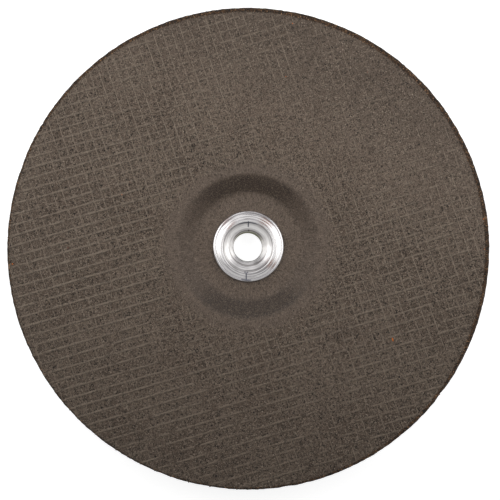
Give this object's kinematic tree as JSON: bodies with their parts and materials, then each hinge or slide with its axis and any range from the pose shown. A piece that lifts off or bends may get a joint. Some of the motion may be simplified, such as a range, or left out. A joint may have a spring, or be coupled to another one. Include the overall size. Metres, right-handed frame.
{
  "type": "grinding disc",
  "caption": "Flat round abrasive wheel with a set-back centre, glass cloth in its faces and a metal hub that screws onto an angle grinder's spindle.",
  "frame": {"origin": "centre of the hub's end face on the spindle side, at the bottom of the part", "axes": "+Z along the disc's axis, from the spindle side to the working face; the hub's hexagon has flats that face +Y and -Y"},
  "size_m": [0.23, 0.23, 0.0216],
  "materials": {
    "abrasive": "rough resin-bonded grain",
    "glass_cloth": "resin-soaked glass yarn",
    "hub_metal": "turned and zinc plated"
  },
  "bodies": {
    "root": {"abrasive_disc": "abrasive", "face_weft_yarns": "glass_cloth", "face_warp_yarns": "glass_cloth", "back_weft_yarns": "glass_cloth", "back_warp_yarns": "glass_cloth", "threaded_hub": "hub_metal"}
  },
  "joints": []
}
